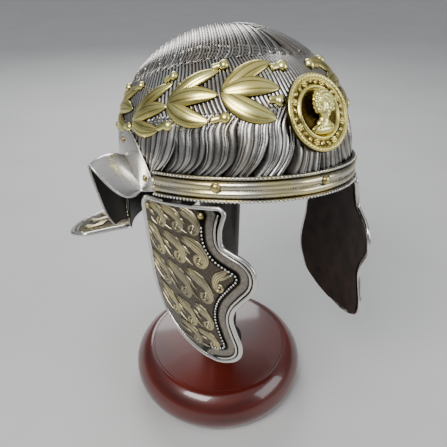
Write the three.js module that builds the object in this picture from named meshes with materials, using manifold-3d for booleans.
// Roman cavalry helmet on a turned wooden stand. Millimetres, Z up.
// The helmet is worked out in its own frame, its face towards -Y and the wearer's right side towards -X,
// and is then set on the stand, tipped back and a little towards the wearer's left.
import * as THREE from 'three';
import { mergeVertices } from 'three/addons/utils/BufferGeometryUtils.js';
import Module from 'manifold-3d';

const wasm = await Module();
wasm.setup();

// Driving dimensions

const clearance = 0.3;
const skull = { halfWidth: 94.2, halfLength: 111.5, dome: 97.7, wall: 24.5, thickness: 1.6 };
const rim = { earArch: 19, napeDepth: 50, napeTuck: 5 };
const band = { height: 18.6, depth: 3.8, endTurn: 75 };
const wreath = { leafWidth: 15, leafHeight: 2.2, berry: 3.4, sunk: 1.3 };
const medal = { radius: 27.5, plate: 2.2, standOff: 0.6, height: 57.4, lean: 20, relief: 9 };
const rosette = { count: 6, ring: 0.78, size: 0.12 };
const ear = { reach: 31, thickness: 1.4, rim: 2.4, lip: 1.2, seat: 0.6, crown: 0.07 };
const neck = { halfWidth: 134, depth: 97, centre: 50, slope: 5, thickness: 1.6, rim: 3.6 };
const neckFlange = { height: 9, bend: 2.5, turn: 118, rivets: 0.62 };
const neckEnd = { sweep: 5, length: 0.0625, rounding: 0.22 };
const cheek = { topWidth: 67, drop: 147.5, thickness: 1.5, rim: 3.2 };
const cheekBend = { bow: 5, bowBeyond: 6, flare: 4.5, twist: 0.2, growth: 35 };
const cheekRelief = { channel: 13, ridge: 1.2, height: 1.6, length: 0.3 };
const lining = { thickness: 1.6, topGap: 5 };
const hinge = { pin: 0.9, barrel: 2, knuckle: 8.5, out: 5, drop: 2.6, plate: 1.2, plateRise: 12 };
const hingeLine = { rearTurn: 80.4, heading: 23.39, underBand: 0.4, pinOver: 0.6, knuckleRoom: 2.4 };
const rivet = { head: 3.9, dome: 2.2, shank: 1.5, drill: 9 };
const smallRivet = { head: 2.9, dome: 1.7, shank: 1.2, drill: 6 };
const stand = { base: 97.2, baseTop: 80.5, baseHeight: 46, post: 20 };
const collar = { out: 7, height: 5, taper: 7 };
const standHead = { radius: 44, rise: 26, skirt: 8, foot: 6 };
const pose = { tipBack: 12.7, leanLeft: 5.8, forward: 17.2, rimHeight: 278.1 };

// Small helpers

const rad = THREE.MathUtils.degToRad;
const vec = (x, y, z) => new THREE.Vector3(x, y, z);
const clamp = THREE.MathUtils.clamp;
const lerp = THREE.MathUtils.lerp;

function alongTable(table, key, at, column) {
  let i = 1;
  while (i < table.length - 1 && table[i][key] < at) {
    i += 1;
  }
  const low = table[i - 1];
  const high = table[i];
  const share = clamp((at - low[key]) / (high[key] - low[key]), 0, 1);
  return lerp(low[column], high[column], share);
}

// A smooth curve through the rows of a table, used for outlines.
function smoothTable(table, key, columns) {
  const points = table.map((row) => vec(row[columns[0]], row[columns[1] ?? columns[0]], row[key]));
  const curve = new THREE.CatmullRomCurve3(points, false, 'centripetal');
  const samples = curve.getPoints(table.length * 8);
  return (at) => {
    let i = 1;
    while (i < samples.length - 1 && samples[i].z < at) {
      i += 1;
    }
    const share = clamp((at - samples[i - 1].z) / (samples[i].z - samples[i - 1].z), 0, 1);
    return samples[i - 1].clone().lerp(samples[i], share);
  };
}

function geometryOf(points, faces) {
  const geometry = new THREE.BufferGeometry();
  const places = points.flatMap((p) => [p.x, p.y, p.z]);
  geometry.setAttribute('position', new THREE.Float32BufferAttribute(places, 3));
  geometry.setIndex(faces.flat());
  return outward(geometry);
}

function outward(geometry) {
  const p = geometry.attributes.position;
  const index = geometry.index.array;
  const a = vec(0, 0, 0);
  const b = vec(0, 0, 0);
  const c = vec(0, 0, 0);
  let volume = 0;
  for (let i = 0; i < index.length; i += 3) {
    a.fromBufferAttribute(p, index[i]);
    b.fromBufferAttribute(p, index[i + 1]);
    c.fromBufferAttribute(p, index[i + 2]);
    volume += a.dot(b.cross(c));
  }
  if (volume < 0) {
    for (let i = 0; i < index.length; i += 3) {
      const keep = index[i];
      index[i] = index[i + 1];
      index[i + 1] = keep;
    }
  }
  return geometry;
}

// Joins and cuts

function solid(geometry) {
  const bare = geometry.clone();
  bare.deleteAttribute('normal');
  bare.deleteAttribute('uv');
  const merged = mergeVertices(bare, 1e-4);
  return new wasm.Manifold(new wasm.Mesh({
    numProp: 3,
    vertProperties: new Float32Array(merged.attributes.position.array),
    triVerts: new Uint32Array(merged.index.array),
  }));
}

function joined(base, ...more) {
  return more.flat().reduce((whole, piece) => whole.add(solid(piece)), solid(base));
}

function cut(whole, ...tools) {
  return tools.flat().reduce((left, tool) => left.subtract(solid(tool)), whole);
}

function fromSolid(whole) {
  const mesh = whole.getMesh();
  const geometry = new THREE.BufferGeometry();
  geometry.setAttribute('position', new THREE.BufferAttribute(new Float32Array(mesh.vertProperties), 3));
  geometry.setIndex(new THREE.BufferAttribute(new Uint32Array(mesh.triVerts), 1));
  geometry.computeVertexNormals();
  return geometry;
}

// Sheet metal and leather: a grid of points with one skin on each side

function gridNormals(grid) {
  const rows = grid.length;
  const cols = grid[0].length;
  return grid.map((row, i) => row.map((point, j) => {
    const down = grid[Math.min(i + 1, rows - 1)][j].clone().sub(grid[Math.max(i - 1, 0)][j]);
    const across = grid[i][Math.min(j + 1, cols - 1)].clone().sub(grid[i][Math.max(j - 1, 0)]);
    return down.cross(across).normalize();
  }));
}

// rolled lists the sides of the grid that carry a rolled rim: top, bottom, start and end.
function sheet(grid, thickness, rimThickness = thickness, rolled = []) {
  const rows = grid.length;
  const cols = grid[0].length;
  const normals = gridNormals(grid);
  const points = [];
  for (const side of [0.5, -0.5]) {
    grid.forEach((row, i) => row.forEach((point, j) => {
      const onRim = (i === 0 && rolled.includes('top')) || (i === rows - 1 && rolled.includes('bottom'))
        || (j === 0 && rolled.includes('start')) || (j === cols - 1 && rolled.includes('end'));
      points.push(point.clone().addScaledVector(normals[i][j], side * (onRim ? rimThickness : thickness)));
    }));
  }
  const at = (side, i, j) => side * rows * cols + i * cols + j;
  const faces = [];
  for (let i = 0; i < rows - 1; i += 1) {
    for (let j = 0; j < cols - 1; j += 1) {
      faces.push([at(0, i, j), at(0, i + 1, j), at(0, i + 1, j + 1)]);
      faces.push([at(0, i, j), at(0, i + 1, j + 1), at(0, i, j + 1)]);
      faces.push([at(1, i, j), at(1, i + 1, j + 1), at(1, i + 1, j)]);
      faces.push([at(1, i, j), at(1, i, j + 1), at(1, i + 1, j + 1)]);
    }
  }
  const border = [];
  for (let j = 0; j < cols - 1; j += 1) {
    border.push([0, j]);
  }
  for (let i = 0; i < rows - 1; i += 1) {
    border.push([i, cols - 1]);
  }
  for (let j = cols - 1; j > 0; j -= 1) {
    border.push([rows - 1, j]);
  }
  for (let i = rows - 1; i > 0; i -= 1) {
    border.push([i, 0]);
  }
  border.forEach(([i, j], k) => {
    const [m, n] = border[(k + 1) % border.length];
    faces.push([at(0, i, j), at(0, m, n), at(1, m, n)]);
    faces.push([at(0, i, j), at(1, m, n), at(1, i, j)]);
  });
  return geometryOf(points, faces);
}

// A bead or rolled edge that follows a line lying on a surface.
function bead(line, normals, radius, sides, closed) {
  const count = line.length;
  const points = [];
  line.forEach((point, i) => {
    const before = line[closed ? (i + count - 1) % count : Math.max(i - 1, 0)];
    const after = line[closed ? (i + 1) % count : Math.min(i + 1, count - 1)];
    const forward = after.clone().sub(before).normalize();
    const side = forward.clone().cross(normals[i]).normalize();
    const up = side.clone().cross(forward);
    for (let k = 0; k < sides; k += 1) {
      const turn = (2 * Math.PI * k) / sides;
      const outward = side.clone().multiplyScalar(Math.cos(turn)).addScaledVector(up, Math.sin(turn));
      points.push(point.clone().addScaledVector(outward, radius));
    }
  });
  const faces = [];
  const rings = closed ? count : count - 1;
  for (let i = 0; i < rings; i += 1) {
    for (let k = 0; k < sides; k += 1) {
      const a = i * sides + k;
      const b = i * sides + ((k + 1) % sides);
      const c = ((i + 1) % count) * sides + k;
      const d = ((i + 1) % count) * sides + ((k + 1) % sides);
      faces.push([a, b, d]);
      faces.push([a, d, c]);
    }
  }
  if (!closed) {
    for (let k = 1; k < sides - 1; k += 1) {
      faces.push([0, k + 1, k]);
      const last = (count - 1) * sides;
      faces.push([last, last + k, last + k + 1]);
    }
  }
  return geometryOf(points, faces);
}

// A raised leaf or scroll lobe on a surface. place gives the point of the surface for two
// coordinates and a height over it; the section is a low ridge whose foot is sunk in the metal.
function lobe(place, base, tip, width, height, sunk, steps, fullAt = 0.5) {
  const section = [
    { across: -1, up: -1 },
    { across: 0, up: 1 },
    { across: 1, up: -1 },
  ];
  const points = [place(base[0], base[1], -sunk)];
  for (let i = 1; i < steps; i += 1) {
    const share = i / steps;
    const a = lerp(base[0], tip[0], share);
    const b = lerp(base[1], tip[1], share);
    const here = place(a, b, 0);
    const normal = place(a, b, 1).sub(here).normalize();
    const ahead = place(lerp(base[0], tip[0], share + 0.02), lerp(base[1], tip[1], share + 0.02), 0);
    const side = ahead.sub(here).normalize().cross(normal).normalize();
    const bulge = share < fullAt ? share / fullAt : (1 - share) / (1 - fullAt);
    const half = (width / 2) * Math.sin((Math.PI / 2) * bulge);
    for (const corner of section) {
      const rise = corner.up > 0 ? corner.up * height * Math.sin((Math.PI / 2) * bulge) : -sunk;
      points.push(here.clone().addScaledVector(side, corner.across * half).addScaledVector(normal, rise));
    }
  }
  points.push(place(tip[0], tip[1], -sunk));
  const sides = section.length;
  const last = points.length - 1;
  const faces = [];
  for (let k = 0; k < sides; k += 1) {
    const next = (k + 1) % sides;
    faces.push([0, 1 + next, 1 + k]);
    faces.push([last, last - sides + k, last - sides + next]);
    for (let i = 0; i < steps - 2; i += 1) {
      const a = 1 + i * sides + k;
      const b = 1 + i * sides + next;
      faces.push([a, b, b + sides]);
      faces.push([a, b + sides, a + sides]);
    }
  }
  return geometryOf(points, faces);
}

function aimed(geometry, at, direction) {
  const turn = new THREE.Quaternion().setFromUnitVectors(vec(0, 0, 1), direction.clone().normalize());
  return geometry.applyQuaternion(turn).translate(at.x, at.y, at.z);
}

// A turned shape; the flat triangles that a lathe leaves at its axis are dropped.
function lathe(profile, segments) {
  const points = profile.map(([radius, height]) => new THREE.Vector2(radius, height));
  const turned = new THREE.LatheGeometry(points, segments).rotateX(Math.PI / 2);
  turned.deleteAttribute('normal');
  turned.deleteAttribute('uv');
  const merged = mergeVertices(turned, 1e-4);
  const index = [];
  for (let i = 0; i < merged.index.count; i += 3) {
    const [a, b, c] = [0, 1, 2].map((k) => merged.index.getX(i + k));
    if (a !== b && b !== c && c !== a) {
      index.push(a, b, c);
    }
  }
  merged.setIndex(index);
  return outward(merged);
}

// A rod from one point along a direction, used for shanks, pins and drills.
function rod(at, direction, radius, from, to, sides) {
  return aimed(lathe([[0, from], [radius, from], [radius, to], [0, to]], sides), at, direction);
}

// The skull

// The lower edge: level over the brow, arched over the ear and deep over the nape.
// arch and nape are shares of rim.earArch and rim.napeDepth.
const lowerEdge = [
  { turn: 0, arch: 0, nape: 0 },
  { turn: 82, arch: 0, nape: 0 },
  { turn: 90, arch: 0.65, nape: 0 },
  { turn: 97, arch: 1, nape: 0 },
  { turn: 103, arch: 0.5, nape: 0 },
  { turn: 107, arch: 0, nape: 0.45 },
  { turn: 114, arch: 0, nape: 1 },
  { turn: 180, arch: 0, nape: 1 },
];

function edgeHeight(turn) {
  const at = Math.abs(turn);
  return alongTable(lowerEdge, 'turn', at, 'arch') * rim.earArch
    - alongTable(lowerEdge, 'turn', at, 'nape') * rim.napeDepth;
}

// turn goes from the face (0) over the wearer's right side (90) to the nape (180).
function wallPoint(turn, height, out) {
  const t = rad(turn);
  const down = (skull.wall - height) / (skull.wall + rim.napeDepth);
  const tuck = rim.napeTuck * Math.max(0, -Math.cos(t)) * down * down;
  const across = (skull.halfWidth + out - tuck) * Math.sin(t);
  const ahead = (skull.halfLength + out - tuck) * Math.cos(t);
  return vec(-across, -ahead, height);
}

function domePoint(turn, rise, out) {
  const t = rad(turn);
  const e = rad(rise);
  return vec(
    -(skull.halfWidth + out) * Math.sin(t) * Math.cos(e),
    -(skull.halfLength + out) * Math.cos(t) * Math.cos(e),
    skull.wall + (skull.dome + out) * Math.sin(e),
  );
}

const shellStep = 15;
const shellFacet = skull.halfLength * (1 - Math.cos(rad(shellStep / 2)));

function shellGeometry() {
  const turns = [];
  for (let turn = -180; turn < 180; turn += shellStep) {
    turns.push(turn);
  }
  for (const turn of lowerEdge.slice(1, -1).map((row) => row.turn)) {
    turns.push(turn, -turn);
  }
  turns.sort((a, b) => a - b);
  const domeRows = 7;
  const wallRows = 3;
  const rows = domeRows - 1 + wallRows;
  const points = [];
  for (const out of [0, -skull.thickness]) {
    points.push(domePoint(0, 90, out));
    for (let i = 1; i <= rows; i += 1) {
      for (const turn of turns) {
        if (i < domeRows) {
          points.push(domePoint(turn, 90 * (1 - i / (domeRows - 1)), out));
        } else {
          const share = (i - domeRows + 1) / wallRows;
          points.push(wallPoint(turn, lerp(skull.wall, edgeHeight(turn), share), out));
        }
      }
    }
  }
  const count = turns.length;
  const skin = 1 + rows * count;
  const at = (side, i, j) => side * skin + (i === 0 ? 0 : 1 + (i - 1) * count + ((j + count) % count));
  const faces = [];
  for (let j = 0; j < count; j += 1) {
    faces.push([at(0, 0, 0), at(0, 1, j), at(0, 1, j + 1)]);
    faces.push([at(1, 0, 0), at(1, 1, j + 1), at(1, 1, j)]);
    for (let i = 1; i < rows; i += 1) {
      faces.push([at(0, i, j), at(0, i + 1, j), at(0, i + 1, j + 1)]);
      faces.push([at(0, i, j), at(0, i + 1, j + 1), at(0, i, j + 1)]);
      faces.push([at(1, i, j), at(1, i + 1, j + 1), at(1, i + 1, j)]);
      faces.push([at(1, i, j), at(1, i, j + 1), at(1, i + 1, j + 1)]);
    }
    faces.push([at(0, rows, j), at(1, rows, j), at(1, rows, j + 1)]);
    faces.push([at(0, rows, j), at(1, rows, j + 1), at(0, rows, j + 1)]);
  }
  return geometryOf(points, faces);
}

// The laurel wreath, embossed in the skull: sprays of three leaves that point to the brow.
// turn and rise place the foot of each spray, size is a share of the full leaf.
const sprays = [
  { turn: 44, rise: 30.6, size: 1, lift: 0 },
  { turn: 69.5, rise: 26, size: 0.9, lift: 2.5 },
  { turn: 92, rise: 16.5, size: 0.8, lift: 7 },
  { turn: 116, rise: 19, size: 0.78, lift: 2 },
  { turn: 139, rise: 17, size: 0.76, lift: 2 },
  { turn: 162, rise: 15, size: 0.74, lift: 2 },
];
const sprayLeaves = [
  { turn: -29.5, rise: 15, wide: 0.85 },
  { turn: -28, rise: 2, wide: 1 },
  { turn: -23.5, rise: -12.5, wide: 1 },
];
const sprayBerry = { turn: -31, rise: -6 };

function wreathPieces() {
  const pieces = [];
  for (const side of [1, -1]) {
    for (const spray of sprays) {
      const foot = [side * spray.turn, spray.rise];
      for (const leaf of sprayLeaves) {
        const tipTurn = side * (spray.turn + leaf.turn * spray.size);
        const tip = [tipTurn, spray.rise + spray.lift + leaf.rise * spray.size];
        const wide = wreath.leafWidth * leaf.wide * spray.size;
        pieces.push(lobe(domePoint, foot, tip, wide, wreath.leafHeight, wreath.sunk, 2, 0.5));
      }
      const turn = side * (spray.turn + sprayBerry.turn * spray.size);
      const at = domePoint(turn, spray.rise + spray.lift + sprayBerry.rise * spray.size, 0);
      const ball = new THREE.OctahedronGeometry(wreath.berry * spray.size, 0);
      pieces.push(ball.translate(at.x, at.y, at.z));
    }
  }
  return pieces;
}

// Rivets: a domed head on the outside and a shank through everything that it holds.

function rivetGeometry(size, at, direction, grip) {
  const head = [[0, -grip], [size.shank, -grip], [size.shank, 0], [size.head, 0]];
  head.push([size.head * Math.cos(rad(50)), size.dome * Math.sin(rad(50))], [0, size.dome]);
  return aimed(lathe(head, 8), at, direction);
}

function rivetHoles(size, places) {
  const radius = size.shank + clearance;
  return places.map((place) => rod(place.at, place.direction, radius, -size.drill, size.drill, 6));
}

function wallNormal(turn, height) {
  const across = wallPoint(turn + 1, height, 0).sub(wallPoint(turn - 1, height, 0));
  const up = wallPoint(turn, height + 1, 0).sub(wallPoint(turn, height - 1, 0));
  return up.cross(across).normalize();
}

// The browband: out is the depth over its back, up the height, both as shares.
const bandSection = [
  { out: 0, up: 0 },
  { out: 0.68, up: 0 },
  { out: 0.95, up: 0.06 },
  { out: 0.68, up: 0.14 },
  { out: 0.95, up: 0.26 },
  { out: 0.68, up: 0.38 },
  { out: 1, up: 0.5 },
  { out: 1, up: 0.7 },
  { out: 0.6, up: 0.82 },
  { out: 0.8, up: 0.92 },
  { out: 0, up: 1 },
];
const bandRivetTurns = [0, 46.5, -46.5];
const bandRivetHeight = band.height * 0.6;

function bandGeometry() {
  const steps = 26;
  const points = [];
  for (let i = 0; i <= steps; i += 1) {
    const turn = lerp(-band.endTurn, band.endTurn, i / steps);
    for (const corner of bandSection) {
      points.push(wallPoint(turn, corner.up * band.height, clearance + corner.out * band.depth));
    }
  }
  const sides = bandSection.length;
  const faces = [];
  for (let i = 0; i < steps; i += 1) {
    for (let k = 0; k < sides; k += 1) {
      const a = i * sides + k;
      const b = i * sides + ((k + 1) % sides);
      faces.push([a, b, b + sides]);
      faces.push([a, b + sides, a + sides]);
    }
  }
  const corners = bandSection.map((corner) => [corner.out * band.depth, corner.up * band.height]);
  const outline = corners.map(([out, up]) => new THREE.Vector2(out, up));
  for (const [p, q, r] of THREE.ShapeUtils.triangulateShape(outline, [])) {
    faces.push([q, p, r]);
    const end = steps * sides;
    faces.push([p + end, q + end, r + end]);
  }
  return geometryOf(points, faces);
}

function bandRivetPlaces() {
  return bandRivetTurns.map((turn) => ({
    at: wallPoint(turn, bandRivetHeight, clearance * 2 + band.depth),
    direction: wallNormal(turn, bandRivetHeight),
  }));
}

// The medallion: a round plate with a beaded edge, rosettes and a bust in high relief.

function medalFrame() {
  const up = (medal.height - skull.wall) / skull.dome;
  const surface = skull.halfLength * Math.sqrt(1 - up * up);
  const normal = vec(0, -Math.cos(rad(medal.lean)), Math.sin(rad(medal.lean)));
  const back = vec(0, -surface, medal.height).addScaledVector(normal, medal.standOff);
  return { back, normal };
}

// The plate's section: radius is a share of medal.radius, height of medal.plate.
const medalProfile = [
  { radius: 0, height: 0 },
  { radius: 0.55, height: 0 },
  { radius: 1, height: -0.55 },
  { radius: 1.02, height: 0.1 },
  { radius: 1, height: 1 },
  { radius: 0.66, height: 1 },
  { radius: 0.62, height: 1.3 },
  { radius: 0.55, height: 1 },
  { radius: 0, height: 1 },
];

// The bust: x is towards the wearer's left, y up on the plate and z out of it.
// x, y, wide and tall are shares of medal.radius, z and deep of medal.relief.
const bust = [
  { x: 0, y: -0.42, z: 0.12, wide: 0.36, tall: 0.16, deep: 0.3 },
  { x: 0, y: -0.24, z: 0.25, wide: 0.13, tall: 0.2, deep: 0.3 },
  { x: 0, y: 0.06, z: 0.38, wide: 0.21, tall: 0.27, deep: 0.52 },
  { x: 0, y: 0.14, z: 0.3, wide: 0.28, tall: 0.27, deep: 0.45 },
];

function medalGeometry() {
  const radius = medal.radius;
  const plate = lathe(medalProfile.map((row) => [row.radius * radius, row.height * medal.plate]), 16);
  const raised = [];
  for (let i = 0; i < rosette.count; i += 1) {
    const turn = (2 * Math.PI * (i + 0.5)) / rosette.count;
    const ring = radius * rosette.ring;
    const knob = new THREE.IcosahedronGeometry(radius * rosette.size, 0);
    raised.push(knob.translate(ring * Math.cos(turn), ring * Math.sin(turn), medal.plate));
  }
  for (const part of bust) {
    const ball = new THREE.SphereGeometry(1, 8, 5);
    ball.scale(part.wide * radius, part.tall * radius, part.deep * medal.relief);
    raised.push(ball.translate(part.x * radius, part.y * radius, medal.plate + part.z * medal.relief));
  }
  const { back, normal } = medalFrame();
  const whole = fromSolid(joined(plate, raised));
  const across = vec(1, 0, 0);
  const upward = normal.clone().cross(across);
  const place = new THREE.Matrix4().makeBasis(across, upward, normal).setPosition(back);
  return whole.applyMatrix4(place);
}

// The ear guard: one bent sheet with a strip on the skull, a hood over the ear and a wall behind it.
// y and z place each row on the skull; reach is the share of ear.reach that the hood stands out there,
// rimY and rimZ where its edge lies, and stripY and stripZ the other edge of the strip.
// All of them but reach are in hundredths of skull.halfLength.
const earRows = [
  { y: -11.7, z: -0.9, reach: 0.04, rimY: -8.1, rimZ: -3.1, stripY: -26, stripZ: 1.3 },
  { y: -5.4, z: 5.4, reach: 0.5, rimY: -3.6, rimZ: -0.4, stripY: -24.2, stripZ: 10.8 },
  { y: 2.7, z: 12.1, reach: 0.85, rimY: -4.5, rimZ: 7.2, stripY: -17, stripZ: 20.6 },
  { y: 12.6, z: 18.8, reach: 1, rimY: 7.2, rimZ: 19.7, stripY: -4.5, stripZ: 32.3 },
  { y: 17, z: 19.3, reach: 0.98, rimY: 10.8, rimZ: 16.1, stripY: 4.5, stripZ: 41.7 },
  { y: 21.5, z: 17, reach: 0.93, rimY: 13.5, rimZ: 10.8, stripY: 15.2, stripZ: 37.7 },
  { y: 27.8, z: 7.2, reach: 0.78, rimY: 17.9, rimZ: -1.8, stripY: 28.7, stripZ: 23.3 },
  { y: 31.4, z: -7.2, reach: 0.6, rimY: 24.2, rimZ: -14.3, stripY: 37.7, stripZ: 3.6 },
  { y: 34.1, z: -23.3, reach: 0.36, rimY: 32.3, rimZ: -27.8, stripY: 41.3, stripZ: -15.2 },
  { y: 38.6, z: -35.9, reach: 0.08, rimY: 39.5, rimZ: -38.6, stripY: 43.9, stripZ: -31.4 },
];

const earUnit = skull.halfLength / 100;

// A point at a given y and height, as far from the skull's outer face as out says.
function sidePoint(y, z, out) {
  const up = Math.max(0, z - skull.wall) / (skull.dome + out);
  const shrink = Math.sqrt(1 - up * up);
  const turn = THREE.MathUtils.radToDeg(Math.acos(clamp(-y / (skull.halfLength + out), -1, 1)));
  const flat = wallPoint(turn, Math.min(z, skull.wall), out);
  const ring = Math.sqrt(Math.max(0, shrink * shrink - (y * y) / ((skull.halfLength + out) ** 2)))
    / Math.sqrt(1 - (y * y) / ((skull.halfLength + out) ** 2));
  return vec(flat.x * ring, y, z);
}

function earGeometry() {
  const lift = ear.seat + ear.thickness / 2;
  const path = (place) => new THREE.CatmullRomCurve3(earRows.map(place), false, 'centripetal');
  const edgeX = (row) => -skull.halfWidth - lift - ear.lip - row.reach * ear.reach;
  const foot = path((row) => vec(0, row.y * earUnit, row.z * earUnit));
  const strip = path((row) => vec(0, row.stripY * earUnit, row.stripZ * earUnit));
  const edge = path((row) => vec(edgeX(row), row.rimY * earUnit, row.rimZ * earUnit));
  const steps = 12;
  const grid = [];
  for (let i = 0; i <= steps; i += 1) {
    const share = i / steps;
    const a = strip.getPoint(share);
    const b = foot.getPoint(share);
    const c = edge.getPoint(share);
    const row = [0, 0.33, 0.67, 1].map((across) => {
      const p = a.clone().lerp(b, across);
      return sidePoint(p.y, p.z, lift);
    });
    const belly = row[3].clone().lerp(c, 0.5);
    belly.z += ear.crown * row[3].distanceTo(c);
    const inside = c.clone().lerp(belly, Math.min(0.5, ear.rim / c.distanceTo(belly)));
    grid.push([...row, belly, inside, c]);
  }
  return solid(sheet(grid, ear.thickness, ear.rim, ['end']));
}

const earRivets = [
  { y: 14.8, z: 32.7 },
  { y: -15.7, z: 9.4 },
];

function earRivetPlaces(side) {
  const mirror = vec(side, 1, 1);
  return earRivets.map((row) => {
    const y = row.y * earUnit;
    const z = row.z * earUnit;
    const direction = sidePoint(y, z, 1).sub(sidePoint(y, z, 0));
    direction.z = Math.max(0, z - skull.wall) / skull.dome;
    direction.normalize();
    const at = sidePoint(y, z, ear.seat + ear.thickness + clearance);
    return { at: at.multiply(mirror), direction: direction.multiply(mirror) };
  });
}

// The neck guard: a crescent plate round the nape with an upright flange against the skull.

const neckRivetTurns = [180, 148, -148];

function neckGrid() {
  const steps = 20;
  const radial = [0.08, 0.5, 0.94, 1];
  const lift = clearance + neck.thickness / 2;
  const grid = [];
  for (let i = 0; i <= steps; i += 1) {
    const share = i / steps;
    const turn = lerp(neckFlange.turn, 360 - neckFlange.turn, share);
    const foot = wallPoint(turn, -rim.napeDepth, lift);
    const sweep = rad(lerp(neckEnd.sweep, 180 - neckEnd.sweep, share));
    const end = Math.min(1, Math.min(share, 1 - share) / neckEnd.length);
    const roundness = 1 - neckEnd.rounding * (1 - end) ** 2;
    const outer = vec(-neck.halfWidth * Math.cos(sweep), neck.centre + neck.depth * Math.sin(sweep), 0);
    const row = [neckFlange.height, neckFlange.bend].map((up) => wallPoint(turn, up - rim.napeDepth, lift));
    for (const across of radial) {
      const flat = foot.clone().lerp(outer, across * roundness);
      const fall = Math.tan(rad(neck.slope)) * (flat.y - neck.centre);
      row.push(vec(flat.x, flat.y, -rim.napeDepth - fall * across));
    }
    grid.push(row);
  }
  return grid;
}

function neckGeometry() {
  return solid(sheet(neckGrid(), neck.thickness, neck.rim, ['end']));
}

function neckRivetPlaces() {
  const height = neckFlange.height * neckFlange.rivets - rim.napeDepth;
  return neckRivetTurns.map((turn) => ({
    at: wallPoint(turn, height, clearance * 2 + neck.thickness),
    direction: wallNormal(turn, height),
  }));
}

// The cheek guards. Each hangs from a hinge whose line is the chord under the end of the browband.

const hingeRear = wallPoint(hingeLine.rearTurn, 0, clearance + band.depth * hingeLine.underBand);
const hingeAhead = vec(Math.sin(rad(hingeLine.heading)), -Math.cos(rad(hingeLine.heading)), 0);
const hingeOut = vec(hingeAhead.y, -hingeAhead.x, 0);
const hingeMiddle = cheek.topWidth / 2;

// drop is a share of cheek.drop, rear and front are shares of cheek.topWidth.
const cheekOutline = [
  { drop: 0.02, rear: -0.01, front: 1.02 },
  { drop: 0.045, rear: -0.08, front: 1.07 },
  { drop: 0.09, rear: -0.125, front: 1.045 },
  { drop: 0.14, rear: -0.145, front: 1.02 },
  { drop: 0.21, rear: -0.17, front: 1.03 },
  { drop: 0.245, rear: -0.19, front: 1.14 },
  { drop: 0.28, rear: -0.21, front: 1.28 },
  { drop: 0.33, rear: -0.235, front: 1.375 },
  { drop: 0.395, rear: -0.25, front: 1.4 },
  { drop: 0.46, rear: -0.28, front: 1.355 },
  { drop: 0.525, rear: -0.31, front: 1.23 },
  { drop: 0.595, rear: -0.33, front: 1.105 },
  { drop: 0.67, rear: -0.325, front: 1.05 },
  { drop: 0.76, rear: -0.27, front: 1.08 },
  { drop: 0.84, rear: -0.19, front: 1.12 },
  { drop: 0.91, rear: -0.02, front: 1.09 },
  { drop: 0.955, rear: 0.17, front: 1.0 },
  { drop: 0.985, rear: 0.38, front: 0.86 },
  { drop: 1, rear: 0.56, front: 0.74 },
];
const cheekEdges = smoothTable(cheekOutline, 'drop', ['rear', 'front']);

// along runs from the rear end of the hinge line to its front end, fall is downwards.
function cheekPoint(along, fall, out) {
  const grown = 1 - Math.exp(-Math.max(fall, 0) / cheekBend.growth);
  const off = along - hingeMiddle;
  const bow = cheekBend.bow * (1 - (off / (hingeMiddle + cheekBend.bowBeyond)) ** 2);
  const depth = bow + (cheekBend.flare + cheekBend.twist * off) * grown;
  return hingeRear.clone().addScaledVector(hingeAhead, along).addScaledVector(hingeOut, depth + out)
    .add(vec(0, 0, -fall));
}

function cheekGrid(falls, columns, out) {
  return falls.map((fall) => {
    const edge = cheekEdges(fall / cheek.drop);
    const row = columns(edge.x * cheek.topWidth, edge.y * cheek.topWidth);
    return row.map((column) => cheekPoint(column.along, fall, out + (column.lift ?? 0)));
  });
}

// Rows of curled lobes on the field between the rear rim and the ridge.
const lobeRows = [0.13, 0.33, 0.53, 0.73];

function cheekLobes() {
  const length = cheekRelief.length * cheek.topWidth;
  const skin = cheek.thickness / 2;
  return lobeRows.flatMap((drop) => {
    const edge = cheekEdges(drop);
    const start = edge.x * cheek.topWidth + cheek.rim * 2;
    const end = edge.y * cheek.topWidth - cheekRelief.channel - cheek.rim;
    const fall = drop * cheek.drop;
    const count = Math.max(1, Math.floor((end - start) / length));
    const pieces = [];
    for (let i = 0; i < count; i += 1) {
      const along = start + ((end - start) * i) / count;
      pieces.push(lobe(
        (a, f, up) => cheekPoint(a, f, up + skin),
        [along, fall],
        [along + length * 0.9, fall + length * 0.55],
        length * 0.5, cheekRelief.height, cheek.thickness / 3, 2, 0.5,
      ));
    }
    return pieces;
  });
}

// Heights of the rows of the sheet, and the places of its columns between its two edges.
function cheekFalls() {
  const first = cheekOutline[0].drop * cheek.drop;
  const falls = [first];
  const rows = 12;
  for (let i = 0; i <= rows; i += 1) {
    falls.push(lerp(first + cheek.rim, cheek.drop - cheek.rim, i / rows));
  }
  return [...falls, cheek.drop];
}

function cheekColumns(rear, front) {
  const rim = cheek.rim;
  const ridge = Math.max(front - cheekRelief.channel, rear + rim * 3);
  return [
    { along: rear },
    { along: rear + rim },
    { along: lerp(rear + rim, ridge - rim / 2, 1 / 3) },
    { along: lerp(rear + rim, ridge - rim / 2, 2 / 3) },
    { along: ridge - rim / 2 },
    { along: ridge, lift: cheekRelief.ridge },
    { along: ridge + rim / 2 },
    { along: front - rim },
    { along: front },
  ];
}

function cheekGeometry() {
  const rolled = ['top', 'bottom', 'start', 'end'];
  const plate = sheet(cheekGrid(cheekFalls(), cheekColumns, 0), cheek.thickness, cheek.rim, rolled);
  const knuckle = hingeRod(hinge.barrel, -hinge.knuckle / 2, hinge.knuckle / 2, 8);
  const root = hingeRod(hinge.barrel * 0.7, -hinge.knuckle / 2, hinge.knuckle / 2, 6)
    .translate(0, 0, -hinge.barrel);
  const room = hinge.barrel + clearance * 2;
  const reach = hinge.knuckle * 1.5 + clearance * 3;
  const notched = cut(joined(plate, cheekLobes()), hingeRod(room, -reach, reach, 8));
  const barreled = notched.add(solid(knuckle)).add(solid(root));
  return cut(barreled, hingeRod(hinge.pin + clearance, -reach, reach, 8));
}

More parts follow.
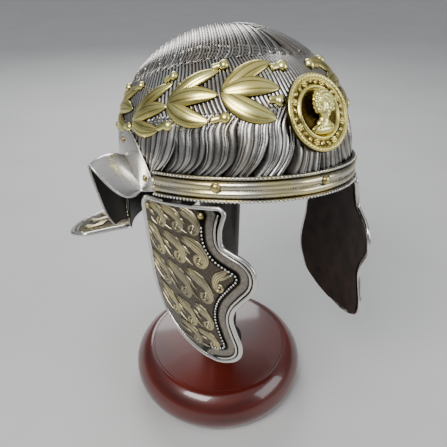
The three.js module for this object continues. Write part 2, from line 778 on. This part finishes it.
function hingeRod(radius, from, to, sides) {
  const at = hingeRear.clone().addScaledVector(hingeAhead, hingeMiddle);
  at.addScaledVector(hingeOut, hinge.out).setZ(-hinge.drop);
  return rod(at, hingeAhead, radius, from, to, sides);
}

// The fixed leaf: two knuckles under the browband and a bent plate that runs up inside the skull.
// up is a share of hinge.plateRise, down of hinge.drop; inward goes from the pin (0) to the skull (1).
const leafProfile = [
  { up: 1, down: 0, inward: 1 },
  { up: 0.5, down: 0, inward: 1 },
  { up: 0.033, down: 0, inward: 1 },
  { up: 0, down: 0.385, inward: 0.92 },
  { up: 0, down: 0.923, inward: 0.5 },
  { up: 0, down: 1.077, inward: 0.12 },
];

function hingeLeafGeometry() {
  const start = hinge.knuckle / 2 + clearance;
  const end = start + hinge.knuckle;
  const innerFace = -skull.thickness - clearance - shellFacet - hinge.plate / 2;
  const plateOut = (along) => {
    const t = Math.atan2(
      -(hingeRear.x + hingeAhead.x * along),
      -(hingeRear.y + hingeAhead.y * along) * (skull.halfWidth / skull.halfLength),
    );
    return wallPoint(THREE.MathUtils.radToDeg(t), 0, innerFace).sub(hingeRear).dot(hingeOut);
  };
  const grid = leafProfile.map((row) => [0, 0.25, 0.5, 0.75, 1].map((share) => {
    const along = hingeMiddle + lerp(-end, end, share);
    const off = lerp(hinge.out, plateOut(along), row.inward);
    const place = hingeRear.clone().addScaledVector(hingeAhead, along).addScaledVector(hingeOut, off);
    return place.setZ(row.up * hinge.plateRise - row.down * hinge.drop);
  }));
  const knuckles = [hingeRod(hinge.barrel, start, end, 8), hingeRod(hinge.barrel, -end, -start, 8)];
  const whole = joined(sheet(grid, hinge.plate), knuckles);
  const room = hingeRod(hinge.barrel + hingeLine.knuckleRoom, -start, start, 10);
  return cut(whole, room, hingeRod(hinge.pin + clearance / 3, -end - clearance, end + clearance, 8));
}

const cheekRivets = [
  { drop: 0.082, along: -0.015 },
  { drop: 0.07, along: 0.785 },
];

function cheekRivetPlaces() {
  return cheekRivets.map((row) => {
    const along = row.along * cheek.topWidth;
    const fall = row.drop * cheek.drop;
    const at = cheekPoint(along, fall, cheek.thickness / 2 + clearance);
    const ahead = cheekPoint(along + 1, fall, 0).sub(cheekPoint(along, fall, 0));
    const down = cheekPoint(along, fall + 1, 0).sub(cheekPoint(along, fall, 0));
    const direction = down.cross(ahead).normalize();
    return { at, direction: direction.dot(hingeOut) < 0 ? direction.negate() : direction };
  });
}

// The lining keeps inside the rolled rim and follows the rows and columns of the sheet.
function liningGeometry() {
  const inward = -(cheek.thickness / 2 + clearance + lining.thickness / 2);
  const inset = clearance * 2;
  const falls = cheekFalls();
  const inner = [falls[0] + lining.topGap, ...falls.slice(2, -2), falls.at(-2) - inset];
  const columns = (rear, front) => cheekColumns(rear + inset, front - inset)
    .filter((column, i, all) => i > 0 && i < all.length - 1)
    .map((column) => ({ along: column.along }));
  return solid(sheet(cheekGrid(inner, columns, inward), lining.thickness));
}

// Build and place

const metal = { steel: [0xa9a9ab, 0.32, 1], gilt: [0xd8c268, 0.3, 1], brass: [0xc2a24c, 0.3, 1] };
const wood = { red: [0x4a140e, 0.18, 0], dark: [0x24120d, 0.35, 0] };
const leather = [0x38231a, 0.7, 0];

function named(name, geometry, [color, roughness, metalness]) {
  const mesh = new THREE.Mesh(geometry, new THREE.MeshStandardMaterial({ color, roughness, metalness }));
  mesh.name = name;
  return mesh;
}

function mirrored(geometry) {
  return outward(geometry.clone().applyMatrix4(new THREE.Matrix4().makeScale(-1, 1, 1)));
}

const helmet = new THREE.Group();
helmet.rotation.set(rad(-pose.tipBack), rad(pose.leanLeft), 0, 'XYZ');
helmet.position.set(0, -pose.forward, pose.rimHeight);
helmet.updateMatrixWorld();

const bandPlaces = bandRivetPlaces();
const neckPlaces = neckRivetPlaces();
const earPlaces = [...earRivetPlaces(1), ...earRivetPlaces(-1)];
const bandHoles = rivetHoles(rivet, bandPlaces);
const neckHoles = rivetHoles(smallRivet, neckPlaces);
const earHoles = rivetHoles(smallRivet, earPlaces);

const bowlWhole = joined(shellGeometry(), wreathPieces());
helmet.add(named('bowl', fromSolid(cut(bowlWhole, bandHoles, neckHoles, earHoles)), metal.steel));
helmet.add(named('browband', fromSolid(cut(solid(bandGeometry()), bandHoles)), metal.gilt));
helmet.add(named('medallion', medalGeometry(), metal.gilt));
helmet.add(named('neck_guard', fromSolid(cut(neckGeometry(), neckHoles)), metal.gilt));

const earRight = fromSolid(cut(earGeometry(), rivetHoles(smallRivet, earRivetPlaces(1))));
helmet.add(named('ear_guard_right', earRight, metal.steel));
helmet.add(named('ear_guard_left', mirrored(earRight), metal.steel));

bandPlaces.forEach((place, i) => {
  const name = ['band_rivet_front', 'band_rivet_right', 'band_rivet_left'][i];
  const grip = band.depth + skull.thickness + clearance * 2;
  helmet.add(named(name, rivetGeometry(rivet, place.at, place.direction, grip), metal.brass));
});
earPlaces.forEach((place, i) => {
  const name = `ear_rivet_${i < 2 ? 'right' : 'left'}_${(i % 2) + 1}`;
  const grip = ear.thickness + skull.thickness + ear.seat + clearance;
  helmet.add(named(name, rivetGeometry(smallRivet, place.at, place.direction, grip), metal.brass));
});
neckPlaces.forEach((place, i) => {
  const grip = neck.thickness + skull.thickness + clearance * 2;
  const geometry = rivetGeometry(smallRivet, place.at, place.direction, grip);
  helmet.add(named(`neck_rivet_${i + 1}`, geometry, metal.brass));
});

// Each cheek guard is turned about its hinge until its weight hangs straight below the pin.

const cheekPlaces = cheekRivetPlaces();
const cheekHoles = rivetHoles(smallRivet, cheekPlaces);
const cheekPlate = fromSolid(cut(cheekGeometry(), cheekHoles));
const cheekLining = fromSolid(cut(liningGeometry(), cheekHoles));
const cheekRivetGeometries = cheekPlaces.map((place) => {
  const grip = cheek.thickness + lining.thickness + clearance * 2;
  return rivetGeometry(smallRivet, place.at, place.direction, grip);
});

function weightAndCentre(geometry) {
  const p = geometry.attributes.position;
  const index = geometry.index.array;
  const centre = vec(0, 0, 0);
  let volume = 0;
  for (let i = 0; i < index.length; i += 3) {
    const a = vec(0, 0, 0).fromBufferAttribute(p, index[i]);
    const b = vec(0, 0, 0).fromBufferAttribute(p, index[i + 1]);
    const c = vec(0, 0, 0).fromBufferAttribute(p, index[i + 2]);
    const part = a.dot(b.clone().cross(c)) / 6;
    volume += part;
    centre.addScaledVector(a.add(b).add(c), part / 4);
  }
  return { volume, centre: centre.divideScalar(volume) };
}

const density = { steel: 7.85, leather: 0.9 };

const pinRear = hingeRear.clone().addScaledVector(hingeOut, hinge.out).setZ(-hinge.drop);

function plumbTurn(side) {
  const plate = weightAndCentre(cheekPlate);
  const inside = weightAndCentre(cheekLining);
  const steel = plate.volume * density.steel;
  const hide = inside.volume * density.leather;
  const moment = plate.centre.multiplyScalar(steel).addScaledVector(inside.centre, hide);
  const arm = moment.divideScalar(steel + hide).sub(pinRear);
  const down = vec(0, 0, -1).applyQuaternion(helmet.quaternion.clone().invert()).multiply(vec(side, 1, 1));
  const armTurn = Math.atan2(arm.dot(hingeOut), -arm.z);
  const downTurn = Math.atan2(down.dot(hingeOut), -down.z);
  return downTurn - armTurn;
}

function cheekGroup(side) {
  const pin = pinRear.clone().multiply(vec(side, 1, 1));
  const axis = hingeAhead.clone().multiply(vec(side, 1, 1));
  const turn = plumbTurn(side);
  const sense = side > 0 ? -1 : 1;
  const group = new THREE.Group();
  group.quaternion.setFromAxisAngle(axis, sense * turn);
  group.position.copy(pin).sub(pin.clone().applyQuaternion(group.quaternion));
  return group;
}

for (const [side, word] of [[1, 'right'], [-1, 'left']]) {
  const own = (geometry) => (side > 0 ? geometry : mirrored(geometry));
  const group = cheekGroup(side);
  group.add(named(`cheek_guard_${word}`, own(cheekPlate), metal.gilt));
  group.add(named(`cheek_lining_${word}`, own(cheekLining), leather));
  cheekRivetGeometries.forEach((geometry, i) => {
    group.add(named(`cheek_rivet_${word}_${i + 1}`, own(geometry), metal.brass));
  });
  helmet.add(group);
  helmet.add(named(`hinge_leaf_${word}`, own(fromSolid(hingeLeafGeometry())), metal.steel));
  const end = hinge.knuckle * 1.5 + clearance + hingeLine.pinOver;
  helmet.add(named(`hinge_pin_${word}`, own(hingeRod(hinge.pin, -end, end, 10)), metal.brass));
}

// The stand: radius and height of the base as shares.

const baseProfile = [
  { radius: 0, height: 0 },
  { radius: 0.865, height: 0 },
  { radius: 0.945, height: 0.1 },
  { radius: 0.99, height: 0.28 },
  { radius: 1, height: 0.46 },
  { radius: 0.978, height: 0.66 },
  { radius: 0.92, height: 0.84 },
  { radius: 0.856, height: 0.96 },
];

const headProfile = [
  [0, -standHead.skirt],
  [stand.post + standHead.foot, -standHead.skirt],
  [standHead.radius, -standHead.skirt * 0.4],
  [standHead.radius, 0],
];
for (let e = 22.5; e < 90; e += 22.5) {
  headProfile.push([standHead.radius * Math.cos(rad(e)), standHead.rise * Math.sin(rad(e))]);
}
headProfile.push([0, standHead.rise]);
const headGeometry = lathe(headProfile, 16);

// The wooden head stands as high on its post as the tilted skull lets it.
function headHeight() {
  helmet.updateMatrixWorld();
  const skullMesh = helmet.getObjectByName('bowl').clone();
  skullMesh.material = new THREE.MeshStandardMaterial({ side: THREE.DoubleSide });
  skullMesh.matrixWorld.copy(helmet.matrixWorld);
  const ray = new THREE.Raycaster();
  const p = headGeometry.attributes.position;
  let room = Infinity;
  for (let i = 0; i < p.count; i += 1) {
    const from = vec(0, 0, pose.rimHeight).add(vec(0, 0, 0).fromBufferAttribute(p, i));
    ray.set(from, vec(0, 0, 1));
    const hit = ray.intersectObject(skullMesh, false)[0];
    room = Math.min(room, hit ? hit.distance : Infinity);
  }
  return pose.rimHeight + room - clearance;
}

const headSeat = headHeight();
const postFoot = stand.baseHeight + clearance;
const postProfile = [
  [0, postFoot],
  [stand.post + collar.out, postFoot],
  [stand.post + collar.out, postFoot + collar.height],
  [stand.post, postFoot + collar.height + collar.taper],
  [stand.post, headSeat - standHead.skirt - clearance],
  [0, headSeat - standHead.skirt - clearance],
];
const baseCorners = baseProfile.map((row) => [row.radius * stand.base, row.height * stand.baseHeight]);
baseCorners.push([stand.baseTop, stand.baseHeight], [0, stand.baseHeight]);

const whole = new THREE.Group();
whole.add(named('stand_base', lathe(baseCorners, 30), wood.red));
whole.add(named('stand_post', lathe(postProfile, 16), wood.dark));
whole.add(named('stand_head', headGeometry.clone().translate(0, 0, headSeat), wood.dark));
whole.add(helmet);

export default whole;
